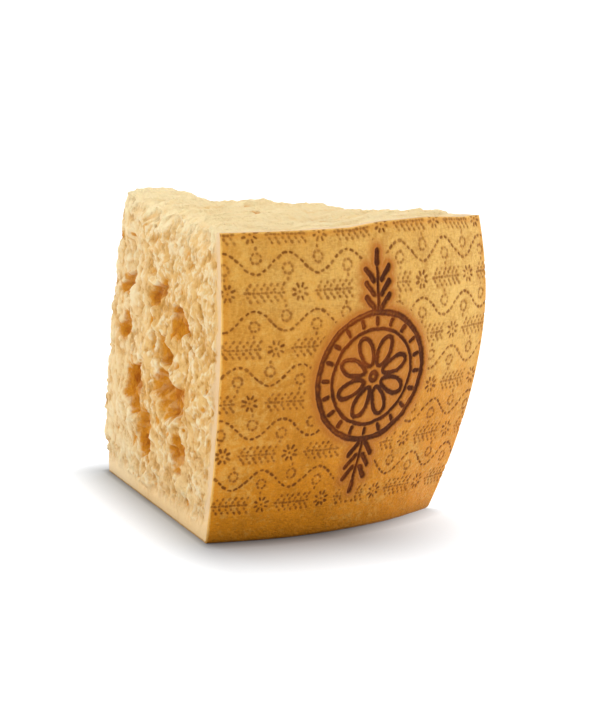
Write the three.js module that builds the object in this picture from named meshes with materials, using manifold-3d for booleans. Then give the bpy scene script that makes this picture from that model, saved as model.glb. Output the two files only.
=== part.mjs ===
import * as THREE from "three";
import { mergeVertices } from "three/addons/utils/BufferGeometryUtils.js";
import Module from "manifold-3d";

// A block of hard, aged cheese: one eighth of a wheel, split off at about two thirds of its height.
// It stands on the wheel's flat face. The barrel-shaped rind looks towards -Y, the split faces run
// back from it to a blunt tip at the wheel's centre line, towards +Y. The origin is on the base,
// in the middle of the block's box. All sizes are in millimetres.

// The wheel that the block comes from.
const WHEEL_RADIUS = 200;
const WHEEL_HALF_HEIGHT = 107.3;
const RIM_DROP = 29.07;
const RIM_POWER = 1.766;
const WHEEL_CENTRE = new THREE.Vector2(0, 102);

// The block: the sector's half angle, its height, and the line of its blunt tip.
const HALF_ANGLE = THREE.MathUtils.degToRad(22.17);
const BLOCK_HEIGHT = 145;
const TIP_BASE = new THREE.Vector2(-18.3, 98);
const TIP_TOP = new THREE.Vector2(-27.6, 66.9);
const TIP_WIDTH_BASE = 15;
const TIP_WIDTH_TOP = 20;
const TIP_SWELL = 3.6;
const TIP_NOSE = { height: 44, reach: 16, depth: 1.6 };
const BASE_EDGE_ROUND = 1.8;
const SAW_ALLOWANCE = 2;

// The middle of the block's box, front to back: the finished block is moved back by it, so that
// the origin is under the middle of the box.
const BOX_MIDDLE = 1.566;

// Where the torn faces stay smooth: a strip beside the rind and a band above the base.
const SMOOTH_STRIP = 8;
const SMOOTH_BAND = 8;
const ROUGH_RAMP = 7;

// Relief of the torn faces: crags, which grow calmer towards the tip, and crumbled upper edges,
// which end where the firm rind starts.
const CRAG_SIZE = 18;
const CRAG_HEIGHT = 1.8;
const CRAG_SOFTNESS = 7;
const CALM_FROM = 105;
const CALM_TO = 150;
const CALM_SHARE = 0.3;
const TIP_RELIEF_SHARE = 0.35;
const EDGE_CRUMBLE = 2.6;
const EDGE_CRUMBLE_REACH = 7;
const EDGE_CRUMBLE_START = 5;
const EDGE_CRUMBLE_FULL = 28;
const TIP_CRUMBLE_SHARE = 0.35;
const HOLLOW_FLOOR_SHARE = 0.45;

// Relief of the torn top: how far it stands over or under BLOCK_HEIGHT, and its flaky steps, which
// follow the rind and wander a little.
const TOP_CRAG_SIZE = 26;
const TOP_CRAG_HEIGHT = 1.3;
const TOP_STEP_LENGTH = 31;
const TOP_STEP_HEIGHT = 1.7;
const TOP_STEP_BREAK = 0.82;
const TOP_STEP_WANDER = 9;
const TOP_ROUGH_FROM = 2;
const TOP_ROUGH_TO = 12;
const TOP_RELIEF_START = 0.75;
const TOP_SWELLS = [
  { x: -20, y: 62, reach: 24, lift: 1.4 },
  { x: 4, y: 24, reach: 26, lift: -2.4 },
  { x: 46, y: -42, reach: 26, lift: -2.2 },
  { x: -24, y: 2, reach: 24, lift: -0.8 },
];
const RIND_EDGE_LIFT = { left: 0.6, middle: 2.4, right: -0.6, reach: 16 };

// The main hollows. "along" runs over the face from the rind's foot towards the tip, "up" is the
// height above the base. Each is an oval bowl of a half length, a half width, a tilt and a depth.
const LEFT_HOLLOWS = [
  { along: 52, up: 60, halfLength: 31, halfWidth: 12, tilt: 8, depth: 4.5 },
  { along: 107, up: 55, halfLength: 16, halfWidth: 16, tilt: 0, depth: 3.6 },
  { along: 92, up: 33, halfLength: 12, halfWidth: 17, tilt: 20, depth: 3.2 },
  { along: 41, up: 34, halfLength: 14, halfWidth: 10, tilt: -20, depth: 2 },
  { along: 56, up: 80, halfLength: 13, halfWidth: 8, tilt: -4, depth: 3.4 },
  { along: 37, up: 96, halfLength: 15, halfWidth: 9, tilt: -12, depth: 3 },
  { along: 71, up: 106, halfLength: 17, halfWidth: 7, tilt: -23, depth: 2.6 },
  { along: 120, up: 82, halfLength: 14, halfWidth: 9, tilt: -10, depth: 2.6 },
  { along: 118, up: 103, halfLength: 16, halfWidth: 6, tilt: -14, depth: 2.2 },
];
const RIGHT_HOLLOWS = [
  { along: 46, up: 92, halfLength: 25, halfWidth: 10, tilt: -10, depth: 4.8 },
  { along: 96, up: 62, halfLength: 19, halfWidth: 13, tilt: 14, depth: 4.4 },
  { along: 60, up: 38, halfLength: 17, halfWidth: 10, tilt: 0, depth: 3.6 },
  { along: 128, up: 98, halfLength: 15, halfWidth: 10, tilt: -20, depth: 3.6 },
  { along: 122, up: 34, halfLength: 14, halfWidth: 9, tilt: 18, depth: 3.2 },
  { along: 88, up: 114, halfLength: 16, halfWidth: 7, tilt: 8, depth: 2.8 },
];
const SEED = { left: 11, right: 47, tip: 83, top: 131, steps: 140 };

// How finely the block is divided: across the rind, from rind to tip, and up its height.
const CELLS_ACROSS = 18;
const CELLS_DEEP = 34;
const CELLS_UP = 32;

function smoothstep(low, high, value) {
  const t = THREE.MathUtils.clamp((value - low) / (high - low), 0, 1);
  return t * t * (3 - 2 * t);
}

function bell(distance, reach) {
  return Math.exp(-((distance / reach) ** 2));
}

// A repeatable random number from 0 to 1 for one cell of a grid.
function cellRandom(column, row, seed) {
  let hash = Math.imul(column, 374761393) + Math.imul(row, 668265263) + Math.imul(seed, 974711);
  hash = Math.imul(hash ^ (hash >>> 13), 1274126177);
  hash = Math.imul(hash ^ (hash >>> 15), 739982445);
  return ((hash ^ (hash >>> 16)) >>> 0) / 4294967296;
}

// Broken facets, from about -1 to 1: each cell has its own height and tilt, blended where they meet.
function facets(a, b, size, softness, seed) {
  const column = Math.floor(a / size);
  const row = Math.floor(b / size);
  let sum = 0;
  let weights = 0;
  for (let i = column - 1; i <= column + 1; i += 1) {
    for (let j = row - 1; j <= row + 1; j += 1) {
      const da = a / size - i - cellRandom(i, j, seed);
      const db = b / size - j - cellRandom(i, j, seed + 1);
      const height = 2 * cellRandom(i, j, seed + 2) - 1;
      const tiltA = 2 * cellRandom(i, j, seed + 3) - 1;
      const tiltB = 2 * cellRandom(i, j, seed + 4) - 1;
      const weight = Math.exp(-softness * (da * da + db * db));
      sum += weight * (height + tiltA * da + tiltB * db);
      weights += weight;
    }
  }
  return sum / weights;
}

// Depth of a set of oval bowls at one place on a face.
function hollowDepth(hollows, along, up) {
  let deepest = 0;
  for (const hollow of hollows) {
    const tilt = THREE.MathUtils.degToRad(hollow.tilt);
    const da = along - hollow.along;
    const db = up - hollow.up;
    const p = (da * Math.cos(tilt) + db * Math.sin(tilt)) / hollow.halfLength;
    const q = (db * Math.cos(tilt) - da * Math.sin(tilt)) / hollow.halfWidth;
    const bowl = 1 - smoothstep(HOLLOW_FLOOR_SHARE, 1, Math.hypot(p, q));
    deepest = Math.max(deepest, hollow.depth * bowl);
  }
  return deepest;
}

// Radius of the wheel's side at a height above its flat face, with the worn edge at the bottom.
function rindRadius(z) {
  const barrel = RIM_DROP * (Math.abs(z - WHEEL_HALF_HEIGHT) / WHEEL_HALF_HEIGHT) ** RIM_POWER;
  const round = Math.max(0, 1 - z / BASE_EDGE_ROUND) ** 2;
  return WHEEL_RADIUS - barrel - 0.6 * BASE_EDGE_ROUND * round;
}

function rindPoint(angle, z) {
  const radius = rindRadius(z);
  return new THREE.Vector2(radius * Math.sin(angle), -radius * Math.cos(angle)).add(WHEEL_CENTRE);
}

function tipWidth(z) {
  return THREE.MathUtils.lerp(TIP_WIDTH_BASE, TIP_WIDTH_TOP, z / BLOCK_HEIGHT);
}

// The blunt tip's edge: share 0 is its left corner, share 1 its right one.
function tipPoint(share, z) {
  const rise = z / BLOCK_HEIGHT;
  const point = TIP_BASE.clone().lerp(TIP_TOP, rise);
  const swell = TIP_SWELL * Math.sin(Math.PI * THREE.MathUtils.clamp(rise, 0, 1)) ** 0.7;
  const bulge = swell + TIP_NOSE.depth * bell(z - TIP_NOSE.height, TIP_NOSE.reach);
  point.x += share * tipWidth(z) - 0.8 * bulge * (1 - share);
  point.y += 3 * share + 0.6 * bulge;
  return point;
}

// How deep the upper edges have crumbled, at a distance from the rind: less again at the tip.
function crumbleDepth(fromRind) {
  const atTip = 1 - (1 - TIP_CRUMBLE_SHARE) * smoothstep(CALM_FROM, CALM_TO, fromRind);
  return EDGE_CRUMBLE * atTip * smoothstep(EDGE_CRUMBLE_START, EDGE_CRUMBLE_FULL, fromRind);
}

// Outward relief of a torn side face. "along" is measured from the rind's foot, "fromRind" from
// the rind itself, which bulges out past its foot.
function tornFaceRelief(along, fromRind, z, hollows, seed) {
  const rough = smoothstep(SMOOTH_STRIP, SMOOTH_STRIP + ROUGH_RAMP, fromRind)
    * smoothstep(SMOOTH_BAND, SMOOTH_BAND + ROUGH_RAMP, z);
  const calm = 1 - (1 - CALM_SHARE) * smoothstep(CALM_FROM, CALM_TO, along);
  const crags = calm * CRAG_HEIGHT * facets(along, z, CRAG_SIZE, CRAG_SOFTNESS, seed);
  const crumble = crumbleDepth(fromRind) * smoothstep(BLOCK_HEIGHT - EDGE_CRUMBLE_REACH, BLOCK_HEIGHT, z);
  return rough * (crags - hollowDepth(hollows, along, z)) - crumble;
}

// The rind's upper edge rises from the left to the middle and falls again to the right.
function rindEdgeLift(angle) {
  const turn = THREE.MathUtils.radToDeg(angle);
  const { left, middle, right } = RIND_EDGE_LIFT;
  const toMiddle = THREE.MathUtils.lerp(left, middle, smoothstep(-4, 2, turn));
  return THREE.MathUtils.lerp(toMiddle, right, smoothstep(8, 22, turn));
}

// How far the torn top stands over the block's height, at a place in plan.
function topRelief(x, y, angle, fromRind, fromEdge) {
  const offCentre = Math.hypot(x - WHEEL_CENTRE.x, y - WHEEL_CENTRE.y);
  const wander = TOP_STEP_WANDER * facets(x, y, TOP_CRAG_SIZE * 2, CRAG_SOFTNESS / 2, SEED.steps);
  const climb = (offCentre + wander) / TOP_STEP_LENGTH;
  const step = climb - Math.floor(climb);
  const flake = TOP_STEP_HEIGHT * (step - smoothstep(TOP_STEP_BREAK, 1, step) - 0.4);
  const crags = TOP_CRAG_HEIGHT * facets(x, y, TOP_CRAG_SIZE, CRAG_SOFTNESS, SEED.top);
  const rough = smoothstep(TOP_ROUGH_FROM, TOP_ROUGH_TO, fromRind);
  let height = rough * (crags + flake) + rindEdgeLift(angle) * bell(fromRind, RIND_EDGE_LIFT.reach);
  for (const swell of TOP_SWELLS) {
    height += swell.lift * bell(Math.hypot(x - swell.x, y - swell.y), swell.reach);
  }
  return height - crumbleDepth(fromRind) * bell(fromEdge, EDGE_CRUMBLE);
}

// Unit normal, pointing out of the block, of the side face that runs from the rind to the tip.
function faceNormal(share, z) {
  const along = tipPoint(share, z).sub(rindPoint((2 * share - 1) * HALF_ANGLE, z)).normalize();
  const outward = share < 0.5 ? 1 : -1;
  return new THREE.Vector2(-along.y * outward, along.x * outward);
}

// Place in the block of a point given by its shares: across from left to right, deep from the
// rind to the tip, and rise from under the base to the top.
function blockPoint(across, deep, rise) {
  const z = THREE.MathUtils.lerp(-SAW_ALLOWANCE, BLOCK_HEIGHT, rise);
  const angle = (2 * across - 1) * HALF_ANGLE;
  const onRind = rindPoint(angle, z);
  const onTip = tipPoint(across, z);
  const point = onRind.clone().lerp(onTip, deep);
  const depthHere = onRind.distanceTo(onTip);
  const fromRind = deep * depthHere;
  const overhang = rindRadius(z) - rindRadius(BASE_EDGE_ROUND);
  const widthHere = rindPoint(-HALF_ANGLE, z).lerp(tipPoint(0, z), deep)
    .distanceTo(rindPoint(HALF_ANGLE, z).lerp(tipPoint(1, z), deep));
  const fromEdge = Math.min(across, 1 - across) * widthHere;

  const left = tornFaceRelief(fromRind - overhang, fromRind, z, LEFT_HOLLOWS, SEED.left);
  const right = tornFaceRelief(fromRind - overhang, fromRind, z, RIGHT_HOLLOWS, SEED.right);
  const tip = tornFaceRelief(tipWidth(z) * across, depthHere, z, [], SEED.tip);
  const top = topRelief(point.x, point.y, angle, fromRind, Math.min(fromEdge, depthHere - fromRind));
  point.addScaledVector(faceNormal(0, z), left * (1 - across) ** 2);
  point.addScaledVector(faceNormal(1, z), right * across ** 2);
  point.y += TIP_RELIEF_SHARE * tip * deep ** 12;
  return new THREE.Vector3(point.x, point.y, z + top * smoothstep(TOP_RELIEF_START, 1, rise));
}

function blockGeometry() {
  const geometry = new THREE.BoxGeometry(1, 1, 1, CELLS_ACROSS, CELLS_DEEP, CELLS_UP);
  const position = geometry.getAttribute("position");
  for (let i = 0; i < position.count; i += 1) {
    const place = blockPoint(position.getX(i) + 0.5, position.getY(i) + 0.5, position.getZ(i) + 0.5);
    position.setXYZ(i, place.x, place.y, place.z);
  }
  return geometry;
}

// Booleans: a closed three.js geometry as a solid, and a solid back as a geometry.
const manifold = await Module();
manifold.setup();

function toSolid(geometry) {
  const plain = geometry.clone();
  plain.deleteAttribute("normal");
  plain.deleteAttribute("uv");
  const merged = mergeVertices(plain, 1e-5);
  const vertProperties = new Float32Array(merged.getAttribute("position").array);
  const triVerts = new Uint32Array(merged.index.array);
  return new manifold.Manifold(new manifold.Mesh({ numProp: 3, vertProperties, triVerts }));
}

function toGeometry(solid) {
  const mesh = solid.getMesh();
  const geometry = new THREE.BufferGeometry();
  geometry.setAttribute("position", new THREE.BufferAttribute(mesh.vertProperties, 3));
  geometry.setIndex(new THREE.BufferAttribute(mesh.triVerts, 1));
  geometry.computeVertexNormals();
  return geometry;
}

// The wheel's flat face: everything under the base is cut away, so that the block stands flat.
function cutFlatBase(geometry) {
  const span = 2 * WHEEL_RADIUS;
  const above = new THREE.BoxGeometry(span, span, span).translate(0, 0, span / 2);
  return toGeometry(toSolid(geometry).intersect(toSolid(above)));
}

const agedCheese = new THREE.MeshStandardMaterial({ color: 0xe0ae5c, roughness: 0.6, metalness: 0 });

const wedge = new THREE.Mesh(cutFlatBase(blockGeometry()), agedCheese);
wedge.name = "cheese_wedge";
wedge.position.y = -BOX_MIDDLE;

const group = new THREE.Group();
group.add(wedge);

export default group;
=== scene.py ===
"""Looks of a block of hard, aged cheese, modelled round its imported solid.

The block is two pieces that fit face to face: the paste, torn and craggy on its sides and top, and
the thin rind, with a dashed ornament pressed into it and a burnt mark. Sizes are in metres.
"""
import math
from collections import namedtuple

import bmesh
import bpy
import numpy as np
from mathutils import Matrix


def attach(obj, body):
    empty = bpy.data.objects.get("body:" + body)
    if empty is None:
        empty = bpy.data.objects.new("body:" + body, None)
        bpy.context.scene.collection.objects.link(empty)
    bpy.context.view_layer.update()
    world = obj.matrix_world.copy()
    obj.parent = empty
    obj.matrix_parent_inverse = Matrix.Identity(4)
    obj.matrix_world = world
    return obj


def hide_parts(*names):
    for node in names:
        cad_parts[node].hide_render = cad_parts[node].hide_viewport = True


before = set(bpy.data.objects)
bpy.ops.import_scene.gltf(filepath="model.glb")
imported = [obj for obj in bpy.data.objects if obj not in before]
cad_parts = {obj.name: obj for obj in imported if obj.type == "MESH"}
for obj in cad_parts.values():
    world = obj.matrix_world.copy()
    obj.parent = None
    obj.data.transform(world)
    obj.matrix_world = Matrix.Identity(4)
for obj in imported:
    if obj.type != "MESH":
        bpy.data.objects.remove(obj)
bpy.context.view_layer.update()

bl_info = {
    "name": "Aged Cheese Block",
    "version": (1, 0, 0),
    "blender": (4, 5, 0),
    "location": "3D View > Sidebar > Cheese",
    "description": "Models a block of hard, aged cheese with its torn paste and its marked rind",
    "category": "Object",
}

MM = 0.001
NODE = "cheese_wedge"
BODY = "root"

# The line of the blunt tip, in plan, and how it swells out between base and top.
TIP_BASE = (-18.3 * MM, 98 * MM)
TIP_TOP = (-27.6 * MM, 66.9 * MM)
TIP_WIDTH_BASE = 15 * MM
TIP_WIDTH_TOP = 20 * MM
TIP_SWELL = 3.6 * MM
TIP_NOSE = {"height": 44 * MM, "reach": 16 * MM, "depth": 1.6 * MM}

# How far up the rind's worn lower edge reaches.
BASE_EDGE_ROUND = 1.8 * MM

# The middle of the block's box, front to back, which is moved onto the origin.
BOX_MIDDLE = 1.566 * MM

# Where the torn faces stay smooth, and the large relief that the solid has too. The fine relief fades
# out within FINE_REACH of its own face.
FINE_REACH = 2.5 * MM
SMOOTH_STRIP = 8 * MM
SMOOTH_BAND = 8 * MM
ROUGH_RAMP = 7 * MM
CRAG_SIZE = 18 * MM
CRAG_HEIGHT = 1.8 * MM
CRAG_SOFTNESS = 7
CALM_FROM = 105 * MM
CALM_TO = 150 * MM
CALM_SHARE = 0.3
TIP_RELIEF_SHARE = 0.35
EDGE_CRUMBLE = 2.6 * MM
EDGE_CRUMBLE_REACH = 7 * MM
EDGE_CRUMBLE_START = 5 * MM
EDGE_CRUMBLE_FULL = 28 * MM
TIP_CRUMBLE_SHARE = 0.35

# The torn top: swells, flaky steps that follow the rind, and the rind's own upper edge.
TOP_CRAG_SIZE = 26 * MM
TOP_CRAG_HEIGHT = 1.3 * MM
TOP_STEP_LENGTH = 31 * MM
TOP_STEP_HEIGHT = 1.7 * MM
TOP_STEP_BREAK = 0.82
TOP_STEP_WANDER = 9 * MM
TOP_ROUGH_FROM = 2 * MM
TOP_ROUGH_TO = 12 * MM
Spot = namedtuple("Spot", "x y reach strength")
TOP_SWELLS = [
    Spot(-20 * MM, 62 * MM, 24 * MM, 1.4 * MM),
    Spot(4 * MM, 24 * MM, 26 * MM, -2.4 * MM),
    Spot(46 * MM, -42 * MM, 26 * MM, -2.2 * MM),
    Spot(-24 * MM, 2 * MM, 24 * MM, -0.8 * MM),
]
RIND_EDGE_LIFT = {"left": 0.6 * MM, "middle": 2.4 * MM, "right": -0.6 * MM, "reach": 16 * MM}

# The sides take part in the top's relief from this share of the height on, counted from a little
# below the base.
TOP_RELIEF_START = 0.75
BELOW_BASE = 2 * MM

# Fine cracks along the torn top, as lines in plan, with how wide and deep each is, in millimetres. A
# thin lip stands behind each, this far away and this share of the crack's depth high.
Crack = namedtuple("Crack", "line width depth")
CRACK_LIP = {"x": 1.2 * MM, "y": 1.6 * MM, "share": 0.55}
TOP_CRACKS = [
    Crack([(-39, -30), (-29, -31), (-25, -38), (-24, -50), (-12, -56), (-2, -57)], 1.1, 2.1),
    Crack([(-14, -69), (2, -66), (17, -62), (28, -60)], 0.9, 1.0),
    Crack([(-31, -4), (-25, -8), (-14, -9)], 0.8, 1.0),
    Crack([(4, 12), (12, 4), (22, -3), (27, -12)], 0.9, 1.1),
    Crack([(38, -58), (47, -62), (55, -70)], 0.8, 0.9),
    Crack([(-26, 42), (-18, 38), (-9, 36)], 0.8, 0.9),
]

# Short cracks in the smooth band of the left side, from the rind's foot and from the base.
BAND_CRACKS = [
    Crack([(43, 1.5), (42, 4.5), (44, 9)], 0.7, 1.1),
    Crack([(96, 4), (97, 9)], 0.7, 0.8),
]

# The main hollows of each torn side: centre from the rind's foot and from the base, half length,
# half width, tilt in degrees, and depth, in millimetres.
Hollow = namedtuple("Hollow", "along up half_length half_width tilt depth")
LEFT_HOLLOWS = [
    Hollow(52, 60, 31, 12, 8, 4.5),
    Hollow(107, 55, 16, 16, 0, 3.6),
    Hollow(92, 33, 12, 17, 20, 3.2),
    Hollow(41, 34, 14, 10, -20, 2),
    Hollow(56, 80, 13, 8, -4, 3.4),
    Hollow(37, 96, 15, 9, -12, 3),
    Hollow(71, 106, 17, 7, -23, 2.6),
    Hollow(120, 82, 14, 9, -10, 2.6),
    Hollow(118, 103, 16, 6, -14, 2.2),
]
RIGHT_HOLLOWS = [
    Hollow(46, 92, 25, 10, -10, 4.8),
    Hollow(96, 62, 19, 13, 14, 4.4),
    Hollow(60, 38, 17, 10, 0, 3.6),
    Hollow(128, 98, 15, 10, -20, 3.6),
    Hollow(122, 34, 14, 9, 18, 3.2),
    Hollow(88, 114, 16, 7, 8, 2.8),
]
SEED = {"left": 11, "right": 47, "tip": 83, "top": 131, "steps": 140}

# Spots of painted light and shade on the rind, and of its dry bloom: the pale spots on the right, high and
# low, are painted sheen and painted light that stand in for the light from the right; the spot with a
# negative strength, on the left, where the rind is darker instead, is painted shade; the pale spot high on
# the left is dry bloom.
SHEEN_SHADE_AND_BLOOM = [
    Spot(58 * MM, 125 * MM, 60 * MM, 1.0),
    Spot(-34 * MM, 120 * MM, 32 * MM, 0.75),
    Spot(62 * MM, 24 * MM, 26 * MM, 0.25),
    Spot(-44 * MM, 68 * MM, 34 * MM, -0.8),
]

# The burnt mark's middle and its rings.
MARK_HEIGHT = 77 * MM
MARK_RING = 30 * MM
MARK_INNER_RING = 22.6 * MM

# How far from the block's foot the floor's painted glow has turned it white: in front of the rind, beside
# the left side, behind the tip, and towards the light on the right, from near the middle. The painted
# contact shadow ends sooner.
WHITE_FROM_RIND = 85 * MM
WHITE_FROM_LEFT = 33 * MM
WHITE_FROM_TIP = 28 * MM
WHITE_TOWARDS_RIGHT = 85 * MM
WHITE_MIDDLE = -10 * MM
CONTACT_AT_RIND = 12 * MM
CONTACT_AT_SIDES = 4 * MM
FLOOR_GREY = (0.36, 0.37, 0.38)
# Grey of the painted contact shadow, and the least and most of the floor's painted glow.
PAINTED_SHADOW_GREY = (0.23, 0.23, 0.23)
GLOW_LEAST = (0.02, 0.02, 0.02)
GLOW_MOST = (0.82, 0.82, 0.82)

# How finely each piece's box is cut: across, deep and up, each as coarse cells times fine cells.
PASTE_CELLS = ((2, 50), (3, 78), (3, 72))
PASTE_TRIANGLES = 196000
RIND_CELLS_COARSE = 12
RIND_CELLS_FINE = 25


# Sizes and colours that a user would change.

def a_number(name, value, about):
    """A plain number."""
    return bpy.props.FloatProperty(name=name, description=about, default=value)


def a_length(name, millimetres, about):
    """A length, given in millimetres."""
    return bpy.props.FloatProperty(
        name=name, description=about, default=millimetres * MM, unit="LENGTH")


def an_angle(name, degrees, about):
    """An angle, given in degrees."""
    return bpy.props.FloatProperty(
        name=name, description=about, default=math.radians(degrees), subtype="ANGLE")


def a_power(name, value, about):
    """A light's power in watts."""
    return bpy.props.FloatProperty(name=name, description=about, default=value, unit="POWER")


def a_colour(name, value, about):
    """A colour."""
    return bpy.props.FloatVectorProperty(name=name, description=about, default=value, subtype="COLOR")


class BlockSettings(bpy.types.PropertyGroup):
    """The wheel, and the block that was split from it."""
    wheel_radius: a_length("Wheel radius", 200, "Largest radius of the wheel")
    half_height: a_length("Wheel half height", 107.3, "Height of the wheel's widest line")
    rim_drop: a_length("Rim drop", 29.07, "How far the barrel side falls in at the flat face")
    rim_power: a_number("Barrel power", 1.766, "How late the barrel side falls in")
    centre_y: a_length("Wheel centre", 102, "Place of the wheel's axis along Y")
    half_angle: an_angle("Half angle", 22.17, "Half of the angle between the split sides")
    height: a_length("Block height", 145, "Height at which the block was split off")
    rind_thickness: a_length("Rind thickness", 1.4, "Thickness of the dried rind")


class PasteSettings(bpy.types.PropertyGroup):
    """The torn paste: its lumps and its colours."""
    lump_size: a_length("Lump size", 4.2, "Size of the lumps on the torn faces")
    lump_height: a_length("Lump height", 1.4, "How far the lumps stand out")
    flake_size: a_length("Flake size", 8.5, "Size of the largest scoops left by flakes")
    flake_height: a_length("Flake height", 2.3, "Height of the largest scoops' rims")
    grain_size: a_length("Grain size", 2.1, "Size of the grains on the lumps")
    grain_height: a_length("Grain height", 0.7, "How far the grains stand out")
    hollow_extra: a_length("Hollow extra", 2.8, "How much deeper the hollows are than in the solid")
    cream: a_colour("Paste", (0.89, 0.565, 0.205), "Colour of the torn paste")
    # Pale in random patches, and on the broken edges a painted highlight.
    pale: a_colour("Broken edges", (0.98, 0.80, 0.49), "Colour of freshly broken edges")
    # Painted shade: this tan stands in for the shade in the low places between broken edges.
    tan: a_colour("Low places", (0.70, 0.335, 0.055), "Colour of the low places between broken edges")
    # Painted shade: both ambers stand in for the shade in the hollows, warm with light bounced and passed
    # through the paste; the amber is also the painted shade in the cracks.
    amber: a_colour("Hollows", (0.77, 0.315, 0.014), "Colour inside the hollows")
    deep_amber: a_colour("Deepest places", (0.58, 0.180, 0.005), "Colour deep inside the hollows")
    crown: a_colour("Top", (0.95, 0.79, 0.46), "Colour of the torn top")
    strip: a_colour("Dry strip", (0.60, 0.42, 0.25), "Colour of the dry paste beside the rind")
    underside: a_colour("Underside", (0.42, 0.19, 0.035), "Colour of the rind on the wheel's flat face")


class RindSettings(bpy.types.PropertyGroup):
    """The rind: its pressed ornament, its burnt mark and its colours."""
    dash_length: a_length("Dash length", 2.5, "Length of one pressed dash")
    dash_width: a_length("Dash width", 1.35, "Width of one pressed dash")
    dash_pitch: a_length("Dash pitch", 3.1, "Distance from dash to dash")
    dot_length: a_length("Short dash", 1.9, "Length of one short dash of the small motifs")
    dot_pitch: a_length("Short dash pitch", 2.1, "Distance from short dash to short dash")
    dot_tone: a_number("Short dash tone", 0.7, "Share of the dashes' darkness that short dashes have")
    dash_depth: a_length("Dash depth", 0.4, "Depth of one pressed dash")
    burn_depth: a_length("Burn depth", 0.7, "Depth of the burnt lines")
    ochre: a_colour("Rind", (0.66, 0.325, 0.052), "Colour of the rind's upper part")
    # The rind's own deeper colour low down, which also stands in as painted shade where the barrel side
    # turns down to the floor.
    deep_ochre: a_colour("Rind foot", (0.65, 0.235, 0.007), "Colour of the rind's lower part")
    pressed: a_colour("Dashes", (0.20, 0.062, 0.002), "Colour in the pressed dashes")
    toast: a_colour("Scorch", (0.47, 0.160, 0.016), "Colour of the scorched rind round the mark")
    # Colour of the dry bloom, the dust and the pale edges, also laid on as painted sheen where the light
    # from the right falls.
    bloom: a_colour("Bloom", (0.78, 0.48, 0.125), "Colour of the dry, pale bloom on the rind")
    singed: a_colour("Singed lines", (0.22, 0.042, 0.002), "Colour of the burnt lines that are lighter")
    burnt: a_colour("Burnt lines", (0.060, 0.012, 0.003), "Colour of the burnt lines that are darker")


class StudioSettings(bpy.types.PropertyGroup):
    """The floor, the lights and the camera."""
    floor_size: a_length("Floor size", 40000, "Side of the square floor")
    sky: a_number("Sky", 0.75, "Strength of the even light from all round")
    top_power: a_power("Top light", 11.5, "Power of the soft light above")
    side_power: a_power("Side light", 12.5, "Power of the soft light on the right")
    left_power: a_power("Left light", 10.0, "Power of the soft light on the left")
    azimuth: an_angle("Camera azimuth", -36.34, "Camera's turn round the block, 0 looks along +Y")
    elevation: an_angle("Camera elevation", 9.736, "Camera's angle above the floor")
    roll: an_angle("Camera roll", 0.70, "Camera's turn round its own axis")
    eye: bpy.props.FloatVectorProperty(
        name="Camera place", description="Where the camera stands", subtype="TRANSLATION",
        default=(-762.2 * MM, -1070.7 * MM, 304.1 * MM))
    lens: a_number("Lens", 138.2, "Focal length for a 36 mm long side")
    shift: bpy.props.FloatVectorProperty(
        name="Shift", description="Shift of the picture, in shares of its long side", size=2,
        default=(0.0066, -0.0253))


# Shape of the block.

def smoothstep(low, high, value):
    """0 below low, 1 above high, and a smooth ramp between them."""
    share = np.clip((value - low) / (high - low), 0, 1)
    return share * share * (3 - 2 * share)


def bell(distance, reach):
    """1 at no distance, falling smoothly to nothing past a few reaches."""
    return np.exp(-((distance / reach) ** 2))


def cell_random(column, row, seed):
    """A repeatable random number from 0 to 1 for each cell of a grid."""
    word = 0xFFFFFFFF
    mixed = (column * 374761393 + row * 668265263 + seed * 974711) & word
    mixed = ((mixed ^ (mixed >> 13)) * 1274126177) & word
    mixed = ((mixed ^ (mixed >> 15)) * 739982445) & word
    return (mixed ^ (mixed >> 16)) / 4294967296.0


def cells_near(a, b, size):
    """Column and row of each of the nine grid cells round each point."""
    column = np.floor(a / size).astype(np.int64)
    row = np.floor(b / size).astype(np.int64)
    for i in (-1, 0, 1):
        for j in (-1, 0, 1):
            yield column + i, row + j


def facets(a, b, size, softness, seed):
    """Broken facets, from about -1 to 1: each cell has its own height and tilt."""
    total = np.zeros_like(a)
    weights = np.zeros_like(a)
    for c, r in cells_near(a, b, size):
        da = a / size - c - cell_random(c, r, seed)
        db = b / size - r - cell_random(c, r, seed + 1)
        height = 2 * cell_random(c, r, seed + 2) - 1
        tilt_a = 2 * cell_random(c, r, seed + 3) - 1
        tilt_b = 2 * cell_random(c, r, seed + 4) - 1
        weight = np.exp(-softness * (da * da + db * db))
        total += weight * (height + tilt_a * da + tilt_b * db)
        weights += weight
    return total / weights


def slanted(a, b, degrees, stretch):
    """Coordinates in which what is round becomes long at a slant."""
    turn = math.radians(degrees)
    long_way = (a * math.cos(turn) + b * math.sin(turn)) / stretch
    cross_way = b * math.cos(turn) - a * math.sin(turn)
    return long_way, cross_way


def scoops(a, b, size, seed):
    """Shallow scoops that meet in sharp rims, from 0 to about 1, and how near the rims are."""
    lowest = np.full_like(a, 9.0)
    second = np.full_like(a, 9.0)
    for c, r in cells_near(a, b, size):
        da = a / size - c - cell_random(c, r, seed)
        db = b / size - r - cell_random(c, r, seed + 1)
        lean = (2 * cell_random(c, r, seed + 3) - 1) * da + (2 * cell_random(c, r, seed + 4) - 1) * db
        bowl = 1.3 * (da * da + db * db) + 0.5 * cell_random(c, r, seed + 2) + 0.35 * lean
        second = np.where(bowl < lowest, lowest, np.minimum(second, bowl))
        lowest = np.minimum(lowest, bowl)
    return lowest, 1 - smoothstep(0.0, 0.3, second - lowest)


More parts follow.
